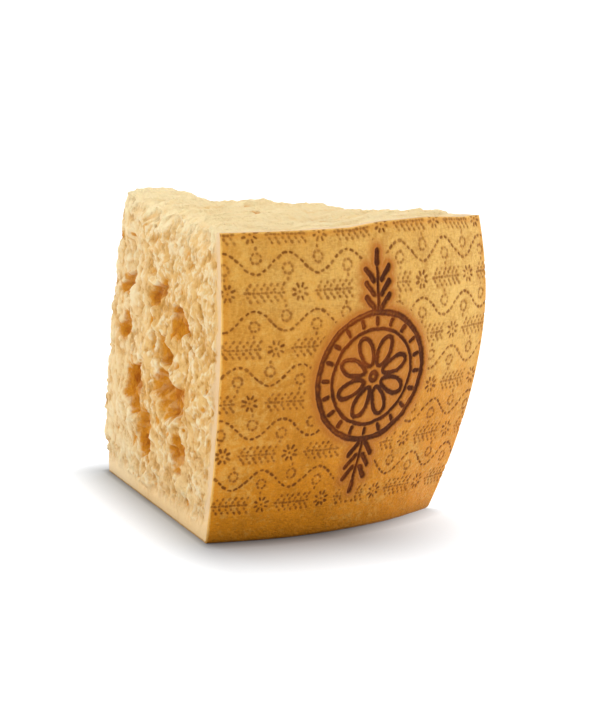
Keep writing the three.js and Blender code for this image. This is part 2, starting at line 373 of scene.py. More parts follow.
def hollow_depth(hollows, along, up, seed):
    """Depth of a set of oval bowls with ragged outlines, and how open they are, from 0 to 1."""
    deepest = np.zeros_like(along)
    open_share = np.zeros_like(along)
    ragged_along = along + 2.4 * MM * facets(along, up, 8 * MM, 8, seed + 60)
    ragged_up = up + 2.4 * MM * facets(along, up, 8 * MM, 8, seed + 66)
    for hollow in hollows:
        turn = math.radians(hollow.tilt)
        da = ragged_along - hollow.along * MM
        db = ragged_up - hollow.up * MM
        p = (da * math.cos(turn) + db * math.sin(turn)) / (hollow.half_length * MM)
        q = (db * math.cos(turn) - da * math.sin(turn)) / (hollow.half_width * MM)
        away = np.hypot(p, q)
        deepest = np.maximum(deepest, hollow.depth * MM * (1 - smoothstep(0.5, 1.0, away)))
        open_share = np.maximum(open_share, 1 - smoothstep(0.45, 1.15, away))
    return deepest, open_share


def small_pits(along, up, pitch, seed):
    """Small, steep pits, from 0 to 1, scattered over a torn face."""
    a, b = slanted(along, up, -58, 1.8)
    pits = np.zeros_like(a)
    for c, r in cells_near(a, b, pitch):
        da = a - (c + cell_random(c, r, seed)) * pitch
        db = b - (r + cell_random(c, r, seed + 1)) * pitch
        size = (0.12 + 0.2 * cell_random(c, r, seed + 2)) * pitch
        depth = np.maximum(0, 1.6 * cell_random(c, r, seed + 3) - 0.6)
        pits = np.maximum(pits, depth * (1 - smoothstep(0.1, 1.2, np.hypot(da, db) / size)))
    return pits


def rind_radius(block, z):
    """Radius of the wheel's side at a height, with the worn edge at the bottom."""
    offset = np.abs(z - block.half_height) / block.half_height
    edge = np.maximum(0, 1 - z / BASE_EDGE_ROUND) ** 2
    return block.wheel_radius - block.rim_drop * offset ** block.rim_power - 0.6 * BASE_EDGE_ROUND * edge


def rind_point(block, angle, z):
    """Point of the rind in plan."""
    radius = rind_radius(block, z)
    return np.stack([radius * np.sin(angle), block.centre_y - radius * np.cos(angle)], axis=-1)


def tip_width(block, z):
    """Width of the blunt tip."""
    return TIP_WIDTH_BASE + (TIP_WIDTH_TOP - TIP_WIDTH_BASE) * z / block.height


def tip_point(block, share, z):
    """Point of the blunt tip in plan: share 0 is its left corner, share 1 its right one."""
    rise = z / block.height
    swell = TIP_SWELL * np.sin(np.pi * np.clip(rise, 0, 1)) ** 0.7
    bulge = swell + TIP_NOSE["depth"] * bell(z - TIP_NOSE["height"], TIP_NOSE["reach"])
    x = TIP_BASE[0] + (TIP_TOP[0] - TIP_BASE[0]) * rise + share * tip_width(block, z)
    y = TIP_BASE[1] + (TIP_TOP[1] - TIP_BASE[1]) * rise + 3 * MM * share
    return np.stack([x - 0.8 * bulge * (1 - share), y + 0.6 * bulge], axis=-1)


def face_normal(block, share, z):
    """Unit normal in plan, out of the block, of the left face (share 0) or the right one (1)."""
    line = tip_point(block, share, z) - rind_point(block, (2 * share - 1) * block.half_angle, z)
    line /= np.linalg.norm(line, axis=-1, keepdims=True)
    outward = 1 if share < 0.5 else -1
    return np.stack([-line[:, 1] * outward, line[:, 0] * outward], axis=-1)


class Places:
    """Where the points of a piece lie before its faces are torn."""

    def __init__(self, block, across, deep, rise, start, end=None):
        self.across = across
        self.z = rise * block.height
        self.angle = (2 * across - 1) * block.half_angle
        on_rind = rind_point(block, self.angle, self.z)
        on_tip = tip_point(block, across, self.z)
        self.depth = np.linalg.norm(on_tip - on_rind, axis=-1)
        self.from_rind = start + deep * ((self.depth if end is None else end) - start)
        self.deep = self.from_rind / self.depth
        self.plan = on_rind + self.deep[:, None] * (on_tip - on_rind)
        overhang = rind_radius(block, self.z) - rind_radius(block, np.array(BASE_EDGE_ROUND))
        self.along = self.from_rind - overhang
        left = self.side_line(block, 0)
        right = self.side_line(block, 1)
        width = np.linalg.norm(right - left, axis=-1)
        self.from_left = across * width
        self.from_right = (1 - across) * width
        self.from_side = np.minimum(self.from_left, self.from_right)
        self.from_tip = self.depth - self.from_rind

    def side_line(self, block, share):
        """The point at the same depth on the left side (share 0) or the right one (1)."""
        on_rind = rind_point(block, (2 * share - 1) * block.half_angle + 0 * self.z, self.z)
        return on_rind + self.deep[:, None] * (tip_point(block, share, self.z) - on_rind)


def crumble_depth(from_rind):
    """How deep the upper edges have crumbled, at a distance from the rind: less again at the tip."""
    at_tip = 1 - (1 - TIP_CRUMBLE_SHARE) * smoothstep(CALM_FROM, CALM_TO, from_rind)
    return EDGE_CRUMBLE * at_tip * smoothstep(EDGE_CRUMBLE_START, EDGE_CRUMBLE_FULL, from_rind)


def roughness_of(places, ramp=ROUGH_RAMP, margin=0.0):
    """1 where a side is torn, 0 on its smooth strip and band."""
    wander = 1.5 * MM * facets(places.along, places.z, 11 * MM, 6, 301)
    beside_rind = smoothstep(SMOOTH_STRIP - margin, SMOOTH_STRIP - margin + ramp, places.from_rind + wander)
    return beside_rind * smoothstep(SMOOTH_BAND - margin, SMOOTH_BAND - margin + ramp, places.z + wander)


def torn_side(block, places, along, hollows, seed):
    """Large outward relief of a torn side, and where its hollows are open."""
    calm = 1 - (1 - CALM_SHARE) * smoothstep(CALM_FROM, CALM_TO, along)
    crags = calm * CRAG_HEIGHT * facets(along, places.z, CRAG_SIZE, CRAG_SOFTNESS, seed)
    depth, open_share = hollow_depth(hollows, along, places.z, seed)
    edge = smoothstep(block.height - EDGE_CRUMBLE_REACH, block.height, places.z)
    relief = roughness_of(places) * (crags - depth) - crumble_depth(places.from_rind) * edge
    return relief, open_share * roughness_of(places)


def fine_side(paste, places, along, open_share, seed):
    """Scooped relief of a torn side, and where it is sunk, low and sharp-edged, each from 0 to 1."""
    warped_along = along + 1.8 * MM * facets(along, places.z, 9 * MM, 7, seed + 70)
    warped_up = places.z + 1.8 * MM * facets(along, places.z, 9 * MM, 7, seed + 75)
    steep_a, steep_b = slanted(warped_along, warped_up, -58, 1.2)
    lean_a, lean_b = slanted(warped_along, warped_up, -42, 1.15)
    flake, flake_rim = scoops(steep_a, steep_b, paste.flake_size, seed + 40)
    lump, lump_rim = scoops(steep_a, steep_b, paste.lump_size, seed + 20)
    shard = 0.5 + 0.35 * facets(steep_a, steep_b, 0.85 * paste.lump_size, 14, seed + 27)
    shard += 0.25 * facets(steep_a, steep_b, 0.5 * paste.lump_size, 14, seed + 31)
    grain, grain_rim = scoops(lean_a, lean_b, paste.grain_size, seed + 35)
    patch = np.clip(0.6 + 1.1 * facets(along, places.z, 17 * MM, 5, seed + 80), 0.25, 1)
    crumb = np.clip(0.7 - 1.1 * facets(along, places.z, 13 * MM, 5, seed + 90), 0.3, 1)
    pits = np.maximum(small_pits(warped_along, warped_up, 14 * MM, seed + 50),
                      small_pits(warped_along, warped_up, 7.5 * MM, seed + 60))
    rough = 0.1 + 0.9 * roughness_of(places, 6 * MM, 3 * MM)
    rough *= 1 - 0.15 * smoothstep(115 * MM, 138 * MM, along)
    relief = patch * paste.flake_height * (flake - 0.45)
    relief += paste.lump_height * (0.5 * (lump - 0.45) + 1.1 * (shard - 0.5))
    relief += crumb * paste.grain_height * (grain - 0.45) - 1.2 * MM * pits
    relief += 0.8 * MM * open_share * facets(steep_a, steep_b, 1.3 * paste.lump_size, 9, seed + 95)
    relief -= paste.hollow_extra * smoothstep(0.5, 0.95, open_share)
    rim = np.maximum(patch * flake_rim, np.maximum(0.5 * lump_rim, 0.5 * crumb * grain_rim))
    rim = np.clip(0.6 * rim + 0.9 * (shard - 0.4), 0, 1)
    low = 1.15 - (0.35 * flake + 0.2 * lump + 0.45 * shard + 0.15 * grain) / 0.75
    sunk = np.maximum(rough * pits, open_share)
    return rough * relief, {"sunk": sunk, "low": rough * np.clip(low, 0, 1), "rim": rough * rim}


def rind_edge_lift(angle):
    """The rind's upper edge rises from the left to the middle and falls again to the right."""
    turn = np.degrees(angle)
    left, middle, right = (RIND_EDGE_LIFT[side] for side in ("left", "middle", "right"))
    to_middle = left + (middle - left) * smoothstep(-4, 2, turn)
    return to_middle + (right - to_middle) * smoothstep(8, 22, turn)


def flakes(block, x, y, length, height, wander, seed):
    """Thin broken steps that follow the rind."""
    off_centre = np.hypot(x, y - block.centre_y)
    climb = (off_centre + wander * facets(x, y, TOP_CRAG_SIZE * 2, CRAG_SOFTNESS / 2, seed)) / length
    step = climb - np.floor(climb)
    return height * (step - smoothstep(TOP_STEP_BREAK, 1, step) - 0.4)


def torn_top(block, places):
    """How far the torn top stands over the block's height."""
    x, y = places.plan.T
    steps = flakes(block, x, y, TOP_STEP_LENGTH, TOP_STEP_HEIGHT, TOP_STEP_WANDER, SEED["steps"])
    crags = TOP_CRAG_HEIGHT * facets(x, y, TOP_CRAG_SIZE, CRAG_SOFTNESS, SEED["top"])
    rough = smoothstep(TOP_ROUGH_FROM, TOP_ROUGH_TO, places.from_rind)
    height = rough * (crags + steps)
    height += rind_edge_lift(places.angle) * bell(places.from_rind, RIND_EDGE_LIFT["reach"])
    for swell in TOP_SWELLS:
        height += swell.strength * bell(np.hypot(x - swell.x, y - swell.y), swell.reach)
    from_edge = np.minimum(places.from_side, places.from_tip)
    return height - crumble_depth(places.from_rind) * bell(from_edge, EDGE_CRUMBLE)


def line_distance(x, y, line):
    """Distance from each point to an open line of straight stretches."""
    nearest = np.full_like(x, 1.0)
    for (ax, ay), (bx, by) in zip(line[:-1], line[1:]):
        dx = bx - ax
        dy = by - ay
        share = np.clip(((x - ax) * dx + (y - ay) * dy) / (dx * dx + dy * dy), 0, 1)
        nearest = np.minimum(nearest, np.hypot(x - ax - share * dx, y - ay - share * dy))
    return nearest


def crack_depth(cracks, x, y):
    """Depth of fine cracks along wandering lines, open in some stretches and nearly shut in others."""
    shaken_x = x + 2.0 * MM * facets(x, y, 6 * MM, 8, 411) + 0.8 * MM * facets(x, y, 2.4 * MM, 8, 415)
    shaken_y = y + 2.0 * MM * facets(x, y, 6 * MM, 8, 421) + 0.8 * MM * facets(x, y, 2.4 * MM, 8, 425)
    opened = np.clip(0.65 + 0.9 * facets(x, y, 8 * MM, 6, 431), 0.15, 1)
    depth = np.zeros_like(x)
    for crack in cracks:
        line = [(px * MM, py * MM) for px, py in crack.line]
        away = line_distance(shaken_x, shaken_y, line)
        depth = np.maximum(depth, opened * crack.depth * MM * bell(away, opened * crack.width * MM))
    return depth


def fine_top(block, paste, places):
    """Thin flakes and small grains of the torn top, and where it is low and sharp-edged."""
    x, y = places.plan.T
    rough = smoothstep(9 * MM, 14 * MM, places.from_rind)
    lump, lump_rim = scoops(*slanted(x, y, 8, 1.8), 1.3 * paste.lump_size, SEED["top"] + 20)
    grain, grain_rim = scoops(x, y, paste.grain_size, SEED["top"] + 30)
    thin = flakes(block, x, y, 9.5 * MM, 1.3 * MM, 7 * MM, SEED["steps"] + 20)
    relief = 0.6 * paste.lump_height * lump + 0.6 * paste.grain_height * grain + thin
    low = rough * np.clip(0.5 - 0.5 * lump - 0.2 * grain, 0, 1)
    rim = rough * np.maximum(0.4 * lump_rim, 0.3 * grain_rim)
    return rough * relief, {"sunk": 0 * x, "low": low, "rim": rim}


def rise_share(block, z):
    """Share of the top's relief that a point on a side takes."""
    share = (z + BELOW_BASE) / (block.height + BELOW_BASE)
    return smoothstep(TOP_RELIEF_START, 1, share)


def shape_points(block, paste, places):
    """Final points of the paste, and how sunk, low, sharp-edged and cracked it is at each point."""
    z = places.z
    near_left, near_right, near_tip, near_top = (
        bell(distance, FINE_REACH) for distance in
        (places.from_left, places.from_right, places.from_tip, block.height - z))
    on_tip = tip_width(block, z) * places.across

    left, left_open = torn_side(block, places, places.along, LEFT_HOLLOWS, SEED["left"])
    right, right_open = torn_side(block, places, places.along, RIGHT_HOLLOWS, SEED["right"])
    right_open *= 0.68 + 0.5 * facets(places.along, z, 6 * MM, 8, SEED["right"] + 97)
    tip, _ = torn_side(block, places, on_tip, [], SEED["tip"])
    fine_left, left_fields = fine_side(paste, places, places.along, left_open, SEED["left"])
    fine_right, right_fields = fine_side(paste, places, places.along, right_open, SEED["right"])
    fine_tip, tip_fields = fine_side(paste, places, on_tip, 0, SEED["tip"])
    fine_up, top_fields = fine_top(block, paste, places)

    band_crack = crack_depth(BAND_CRACKS, places.along, z) * near_left
    outward_left = left * (1 - places.across) ** 2 + fine_left * near_left - band_crack
    outward_right = right * places.across ** 2 + fine_right * near_right
    plan = places.plan + face_normal(block, 0, z) * outward_left[:, None]
    plan += face_normal(block, 1, z) * outward_right[:, None]
    plan[:, 1] += TIP_RELIEF_SHARE * tip * places.deep ** 12 + 0.3 * fine_tip * near_tip - BOX_MIDDLE
    x, y = places.plan.T
    top_crack = crack_depth(TOP_CRACKS, x, y) * near_top
    lip = crack_depth(TOP_CRACKS, x - CRACK_LIP["x"], y - CRACK_LIP["y"]) * CRACK_LIP["share"] * near_top
    z = z + torn_top(block, places) * rise_share(block, z) + fine_up * near_top - top_crack + lip

    fields = {"crack": np.maximum(top_crack, band_crack) / MM}
    shares = [(near_left, left_fields), (near_right, right_fields),
              (near_tip, tip_fields), (near_top, top_fields)]
    for name in ("sunk", "low", "rim"):
        fields[name] = np.max([share * side[name] for share, side in shares], axis=0)
    return np.column_stack([plan, z]), fields


# Ornament of the rind, in flat coordinates: along the rind from its middle, and up from the base.

def add_dashes(dashes, line, length, pitch):
    """Adds dashes of a length along an open line: each has its place, its direction and its length."""
    points = np.array(line)
    steps = np.linalg.norm(np.diff(points, axis=0), axis=1)
    lengths = np.concatenate([[0], np.cumsum(steps)])
    count = max(1, int(round(lengths[-1] / pitch)))
    middles = (np.arange(count) + 0.5) * lengths[-1] / count
    x, y = (np.interp(middles, lengths, points[:, k]) for k in (0, 1))
    dx, dy = (np.interp(middles + 0.2 * pitch, lengths, points[:, k])
              - np.interp(middles - 0.2 * pitch, lengths, points[:, k]) for k in (0, 1))
    dashes += [(px, py, turn, length) for px, py, turn in zip(x, y, np.arctan2(dy, dx))]


def arc(centre, radius, first, last, count=24):
    """Points of an arc, between two angles in degrees."""
    turns = np.radians(np.linspace(first, last, count))
    return [(centre[0] + radius * math.cos(t), centre[1] + radius * math.sin(t)) for t in turns]


def add_sprig(dashes, rind, centre):
    """A lying sprig: a stem with six pairs of leaves, each of two short dashes."""
    x, y = centre
    add_dashes(dashes, [(x - 10 * MM, y), (x + 10 * MM, y)], rind.dot_length, rind.dot_pitch)
    for k in range(6):
        foot = x + (-9.2 + 3.2 * k) * MM
        for side in (-1, 1):
            for out in (1.7, 3.5):
                turn = side * math.radians(52)
                dashes.append((foot + 0.78 * out * MM, y + side * out * MM, turn, rind.dot_length))


def add_rosette(dashes, rind, centre):
    """A small rosette: a dot and eight petals round it."""
    x, y = centre
    dashes.append((x, y, 0.0, rind.dash_width))
    for k in range(8):
        turn = math.radians(45 * k + 22.5)
        dashes.append((x + 3 * MM * math.cos(turn), y + 3 * MM * math.sin(turn), turn, rind.dash_length))


def add_garland(dashes, block, rind, height, shift):
    """A waving line of dashes all along the rind, with a bud in each bend."""
    reach = block.wheel_radius * block.half_angle
    half_wave = 15 * MM
    wave = [(x, height + 4.6 * MM * math.sin(math.pi * (x - shift) / half_wave))
            for x in np.linspace(-reach, reach, 300)]
    add_dashes(dashes, wave, rind.dash_length, rind.dash_pitch)
    for k in range(-6, 6):
        side = 1 if k % 2 else -1
        middle = (shift + (k + 0.5) * half_wave, height + side * 2.2 * MM)
        add_dashes(dashes, arc(middle, 2.3 * MM, 0, 360), rind.dot_length, rind.dot_pitch)
        dashes.append((middle[0], middle[1] + side * 4.4 * MM, math.pi / 2, rind.dot_length))


def pressed_dashes(block, rind):
    """All dashes of the ornament: rows of sprigs and rosettes, with garlands between them."""
    dashes = []
    for row in range(6):
        height = (19 + 25 * row) * MM
        shift = (11 * row % 34) * MM
        for k in range(-4, 4):
            add_sprig(dashes, rind, (shift + 34 * k * MM, height))
            add_rosette(dashes, rind, (shift + (34 * k + 17) * MM, height))
        add_garland(dashes, block, rind, height + 12.5 * MM, 0.6 * shift)
    return dashes


def dash_distance(rind, x, y, dashes):
    """Distance to the nearest dash's edge, negative inside it, and how dark that dash is."""
    nearest = np.full_like(x, 3 * MM)
    tone = np.zeros_like(x)
    for index, (cx, cy, turn, length) in enumerate(dashes):
        near = (np.abs(x - cx) < 4 * MM) & (np.abs(y - cy) < 4 * MM)
        if not near.any():
            continue
        draws = [2 * cell_random(index, key, 700) - 1 for key in range(6)]
        turn = turn + math.radians(7) * draws[0]
        dx = x[near] - cx - 0.2 * MM * draws[1]
        dy = y[near] - cy - 0.2 * MM * draws[2]
        lengthwise = np.abs(dx * math.cos(turn) + dy * math.sin(turn))
        crosswise = dy * math.cos(turn) - dx * math.sin(turn)
        straight = max(0, length * (1 + 0.15 * draws[3]) - rind.dash_width) / 2
        edge = np.hypot(np.maximum(lengthwise - straight, 0), crosswise) - rind.dash_width / 2
        edge += 0.12 * MM * (1 + draws[4])
        strength = (1 if length > rind.dot_length else rind.dot_tone) * (1 + 0.25 * draws[5])
        tone[near] = np.where(edge < nearest[near], strength, tone[near])
        nearest[near] = np.minimum(nearest[near], edge)
    return nearest, tone


def petal(turn):
    """Outline of one petal of the mark's flower."""
    points = []
    for t in np.linspace(0, 2 * math.pi, 20):
        along = 12.6 * MM + 7.2 * MM * math.cos(t)
        aside = 4.0 * MM * math.sin(t) * (0.85 + 0.15 * math.cos(t))
        x = along * math.cos(turn) - aside * math.sin(turn)
        y = along * math.sin(turn) + aside * math.cos(turn)
        points.append((x, MARK_HEIGHT + y))
    return points


def ear(side):
    """Strokes of an ear of grain that stands on the ring, or hangs under it."""
    def at(x, y):
        return (x * MM, MARK_HEIGHT + side * (MARK_RING + y * MM))

    strokes = [([at(0, 0), at(0, 19)], 0.8 * MM)]
    for foot in (2, 8, 14):
        for hand in (-1, 1):
            strokes.append(([at(2.2 * hand, foot), at(6.6 * hand, foot + 5.4)], 1.3 * MM))
    strokes.append(([at(0, 21), at(0, 26)], 1.4 * MM))
    return strokes


def mark_strokes():
    """Lines of the burnt mark, each with its half width."""
    centre = (0, MARK_HEIGHT)
    strokes = [
        (arc(centre, MARK_RING, 0, 360, 60), 1.45 * MM),
        (arc(centre, MARK_INNER_RING, 0, 360, 60), 0.9 * MM),
    ]
    for k in range(20):
        turn = math.radians(18 * k)
        x, y = math.cos(turn), math.sin(turn)
        strokes.append(([(reach * MM * x, MARK_HEIGHT + reach * MM * y) for reach in (25, 27.4)], 1.1 * MM))
    for k in range(8):
        strokes.append((petal(math.radians(45 * k + 22.5)), 1.1 * MM))
    strokes.append((arc(centre, 1.8 * MM, 0, 360, 16), 1.2 * MM))
    return strokes + ear(1) + ear(-1)


def mark_distance(x, y):
    """Distance to the nearest burnt line's edge, negative inside it."""
    nearest = np.full_like(x, 12 * MM)
    x = x + 0.35 * MM * facets(x, y, 4 * MM, 3, 540)
    y = y + 0.35 * MM * facets(x, y, 4 * MM, 3, 550)
    for line, half_width in mark_strokes():
        low = np.min(line, axis=0) - 12 * MM
        high = np.max(line, axis=0) + 12 * MM
        near = (x > low[0]) & (x < high[0]) & (y > low[1]) & (y < high[1])
        nearest[near] = np.minimum(nearest[near], line_distance(x[near], y[near], line) - half_width)
    return nearest


def sheen_shade_and_bloom_field(x, y):
    """How much paler the rind is painted, from 0 to about 1, as dry bloom and as painted sheen, and less
    than 0 where the rind is painted darker as shade.
    """
    return sum(spot.strength * bell(np.hypot(x - spot.x, y - spot.y), spot.reach) for spot in SHEEN_SHADE_AND_BLOOM)


def mark_field(x, y, mark):
    """How scorched the rind is: most inside the mark's ring, and close to every burnt line."""
    from_ring = np.maximum(0, np.hypot(x, y - MARK_HEIGHT) - MARK_RING)
    return np.maximum(0.75 * bell(from_ring, 4 * MM), bell(np.maximum(mark, 0), 3.2 * MM))


# Modelling by hand: a box is added, cut into cells in edit mode, and its points are then placed.

def start_box(name):
    """Adds a unit box with nothing else selected, and opens it in edit mode."""
    bpy.ops.object.select_all(action="DESELECT")
    bpy.ops.mesh.primitive_cube_add(size=1, location=(0, 0, 0))
    box = bpy.context.object
    box.name = name
    box.data.name = name
    bpy.ops.object.mode_set(mode="EDIT")
    bpy.ops.mesh.select_mode(type="EDGE")
    return box


def cut_along(box, axis, cells):
    """Cuts the box's edges that run along one axis into that many cells."""
    if cells < 2:
        return
    bpy.ops.mesh.select_all(action="DESELECT")
    mesh = bmesh.from_edit_mesh(box.data)
    for edge in mesh.edges:
        run = edge.verts[1].co - edge.verts[0].co
        edge.select_set(abs(run[axis]) > 0.9 * run.length)
    bmesh.update_edit_mesh(box.data)
    bpy.ops.mesh.subdivide(number_cuts=cells - 1)


def select_faces(box, wanted):
    """Selects the faces that pass a test."""
    bpy.ops.mesh.select_mode(type="FACE")
    bpy.ops.mesh.select_all(action="DESELECT")
    mesh = bmesh.from_edit_mesh(box.data)
    for face in mesh.faces:
        face.select_set(wanted(face))
    bmesh.update_edit_mesh(box.data)


def read_points(piece):
    """The piece's points as an array."""
    flat = np.empty(3 * len(piece.data.vertices))
    piece.data.vertices.foreach_get("co", flat)
    return flat.reshape(-1, 3)


def write_points(piece, points):
    """Moves the piece's points."""
    piece.data.vertices.foreach_set("co", points.ravel())
    piece.data.update()


def write_fields(piece, fields):
    """Stores numbers at each point, for the materials to read."""
    for name, values in fields.items():
        field = piece.data.attributes.new(name, "FLOAT", "POINT")
        field.data.foreach_set("value", np.ascontiguousarray(values, dtype=np.float32))


def thin_out(piece, wanted):
    """Collapses the flattest faces until that many triangles are left."""
    triangles = sum(len(face.vertices) - 2 for face in piece.data.polygons)
    modifier = piece.modifiers.new("thin_out", "DECIMATE")
    modifier.ratio = min(1, wanted / triangles)
    bpy.ops.object.modifier_apply(modifier=modifier.name)


def finish_piece(piece, material, angle):
    """Smooth shading up to an angle, the material, a parent empty for the body, and the imported part
    hidden.
    """
    bpy.ops.object.select_all(action="DESELECT")
    piece.select_set(True)
    bpy.context.view_layer.objects.active = piece
    bpy.ops.object.shade_smooth_by_angle(angle=math.radians(angle))
    piece.data.materials.append(material)
    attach(piece, BODY)
    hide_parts(NODE)


# Materials.

class Value:
    """A number that varies over a surface: sums on it add Math nodes."""

    def __init__(self, finish, socket):
        self.finish = finish
        self.socket = socket

    def math(self, operation, first, second):
        """Adds one Math node."""
        return self.finish.add("ShaderNodeMath", {"operation": operation}, {0: first, 1: second})

    def squared(self):
        return self.math("MULTIPLY", self, self)

    def __add__(self, other):
        return self.math("ADD", self, other)

    def __sub__(self, other):
        return self.math("SUBTRACT", self, other)

    def __rsub__(self, other):
        return self.math("SUBTRACT", other, self)

    def __mul__(self, other):
        return self.math("MULTIPLY", self, other)

    __radd__ = __add__
    __rmul__ = __mul__


class Finish:
    """A material being made: one method adds any node, and another paints over its colour so far."""

    def __init__(self, name, colour):
        self.colour = colour
        self.material = bpy.data.materials.new(name)
        self.material.use_nodes = True
        self.tree = self.material.node_tree
        self.tree.nodes.clear()
        self.place = self.add("ShaderNodeTexCoord", output="Object")

    def add(self, kind, settings=None, inputs=None, output=0):
        """Adds a node: its settings first, then its sockets' values or links."""
        node = self.tree.nodes.new(kind)
        for key, setting in (settings or {}).items():
            if key == "stops":
                self.set_stops(node.color_ramp, setting)
            else:
                setattr(node, key, setting)
        for key, given in (inputs or {}).items():
            socket = node.inputs[key]
            if isinstance(given, Value):
                self.tree.links.new(given.socket, socket)
            elif hasattr(socket.default_value, "__len__") and len(socket.default_value) == 4:
                socket.default_value = (*given[:3], 1.0)
            else:
                socket.default_value = given
        return Value(self, node.outputs[output])

    def set_stops(self, ramp, stops):
        """Gives a colour ramp its stops."""
        while len(ramp.elements) < len(stops):
            ramp.elements.new(0.5)
        for element, (position, colour) in zip(ramp.elements, stops):
            element.position = position
            element.color = (*colour[:3], 1.0)

    def field(self, name):
        """A number stored at the piece's points."""
        return self.add("ShaderNodeAttribute", {"attribute_name": name}, output="Fac")

    def noise(self, size, detail=2.0, place=None, rough=0.5):
        """Soft noise from about 0 to 1, with blotches of that size."""
        return self.add("ShaderNodeTexNoise", None, {
            "Vector": place or self.place, "Scale": 1 / size, "Detail": detail, "Roughness": rough}, "Fac")

    def stretched(self, scale):
        """Object coordinates scaled along each axis."""
        return self.add("ShaderNodeMapping", None, {"Vector": self.place, "Scale": scale})

    def ramp(self, value, low, high):
        """0 below low, 1 above high, smooth between."""
        return self.add("ShaderNodeMapRange", {"interpolation_type": "SMOOTHSTEP"}, {
            "Value": value, "From Min": low, "From Max": high}, "Result")

    def mix(self, share, first, second):
        """A mix of two colours."""
        return self.add("ShaderNodeMix", {"data_type": "RGBA"}, {0: share, 6: first, 7: second}, 2)

    def paint(self, share, colour):
        """Mixes a share of another colour over the colour so far."""
        self.colour = self.mix(share, self.colour, colour)

    def height(self):
        """Height above the base."""
        return self.add("ShaderNodeSeparateXYZ", None, {0: self.place}, "Z")

    def bump(self, height, distance):
        """Normals of a fine relief."""
        return self.add("ShaderNodeBump", None, {
            "Height": height, "Distance": distance, "Strength": 1.0}, "Normal")

    def surface(self, inputs):
        """Ends the material with its shader, in the colour painted so far."""
        shader = self.add("ShaderNodeBsdfPrincipled", None, {"Base Color": self.colour, **inputs}, "BSDF")
        output = self.tree.nodes.new("ShaderNodeOutputMaterial")
        self.tree.links.new(shader.socket, output.inputs["Surface"])
        return self.material


def torn_paste(paste):
    """Dense, crumbly paste: pale in patches and on its broken edges, where the pale is a painted highlight;
    tan where low and amber in its hollows and cracks, as painted shade.
    """
    finish = Finish("torn_paste", paste.cream)
    sunk = finish.field("sunk")
    low = finish.field("low")
    rim = finish.field("rim")
    crack = finish.field("crack")
    from_rind = finish.field("from_rind")
    upright = finish.stretched((1.0, 1.0, 0.7))
    speckle = finish.noise(1.1 * MM, 3.0, upright, 0.7)
    flake = finish.noise(4.0 * MM, 3.0, upright)
    blotch = finish.noise(16 * MM, 2.0)
    flake_off, speckle_off, blotch_off = (noise - 0.5 for noise in (flake, speckle, blotch))
    height = finish.height()
    torn = finish.ramp(from_rind + flake_off * 8, 5.0, 10.0) * finish.ramp(height, 6 * MM, 14 * MM)
    upper = finish.ramp(height + blotch_off * 0.05, 90 * MM, 135 * MM)

    # Painted shade: tan laid into the low places and creases, less of it towards the top.
    shade = finish.ramp(low + flake_off * 1.1 + speckle_off * 0.6 + blotch_off * 0.8, 0.05, 0.75)
    finish.paint(shade * (0.9 - 0.25 * upper), paste.tan)
    # Painted shade in the hollows: amber, and deeper amber where deepest, less of both towards the top.
    amber = finish.ramp(sunk + speckle_off * 0.6 + flake_off * 0.8 + low * 0.25 - rim * 0.15, 0.3, 0.72)
    finish.paint(amber * (1 - 0.3 * upper), paste.amber)
    deepest = finish.ramp(sunk + flake_off * 1.4 + speckle_off * 0.5 + low * 0.3 - rim * 0.3, 0.75, 1.2)
    finish.paint(deepest * (0.9 - 0.3 * upper), paste.deep_amber)
    # Paler in random patches, a little more high up, and on the sharp rims, where the pale is a painted
    # highlight.
    pale = finish.ramp(rim * 0.6 + speckle * 0.7 + flake * 0.4 + blotch * 0.4 + upper * 0.1, 0.85, 1.35)
    finish.paint(pale * (1 - 0.8 * amber), paste.pale)
    paling = finish.ramp(from_rind + flake_off * 30, 98, 135)
    finish.paint(paling * (0.5 - 0.35 * shade) * (1 - amber), paste.pale)
    base = 1 - finish.ramp(height + flake_off * 30 * MM, 18 * MM, 60 * MM)
    finish.paint(base * (0.3 - 0.15 * shade) * (1 - amber), paste.pale)
    crown = finish.ramp(height + blotch_off * 20 * MM + flake_off * 12 * MM, 132 * MM, 146 * MM)
    finish.paint(crown * 0.7, paste.crown)
    # Painted shade: amber laid into the cracks of the top and of the band.
    cracked = finish.ramp(crack + speckle_off * 0.8, 0.2, 1.3)
    finish.paint(cracked * 0.7, paste.amber)
    # Dark flecks at random, gathered into the low places, where they are painted shade.
    fleck_and_shade = finish.ramp(speckle + flake_off * 0.5 + low * 0.5 - rim * 0.1, 0.72, 1.0)
    finish.paint(fleck_and_shade * torn * (0.4 - 0.3 * amber), [0.5 * channel for channel in paste.tan])
    band = 1 - finish.ramp(height, 8 * MM, 20 * MM)
    finish.paint((1 - torn) * (0.8 - 0.45 * band), paste.strip)
    under = 1 - finish.ramp(height + speckle_off * 0.8 * MM, 0.3 * MM, 1.2 * MM)
    finish.paint(under * 0.85, paste.underside)

    grain = finish.noise(0.8 * MM, 4.0, upright, 0.7) * 0.6 + finish.noise(1.9 * MM, 4.0, upright, 0.6)
    return finish.surface({
        "Roughness": 0.65,
        "Specular IOR Level": 0.22,
        "Subsurface Weight": 0.06,
        "Subsurface Radius": (1.0, 0.55, 0.2),
        "Subsurface Scale": 1.0 * MM,
        "Normal": finish.bump(grain * (0.3 + 0.7 * torn), 2.2 * MM),
    })


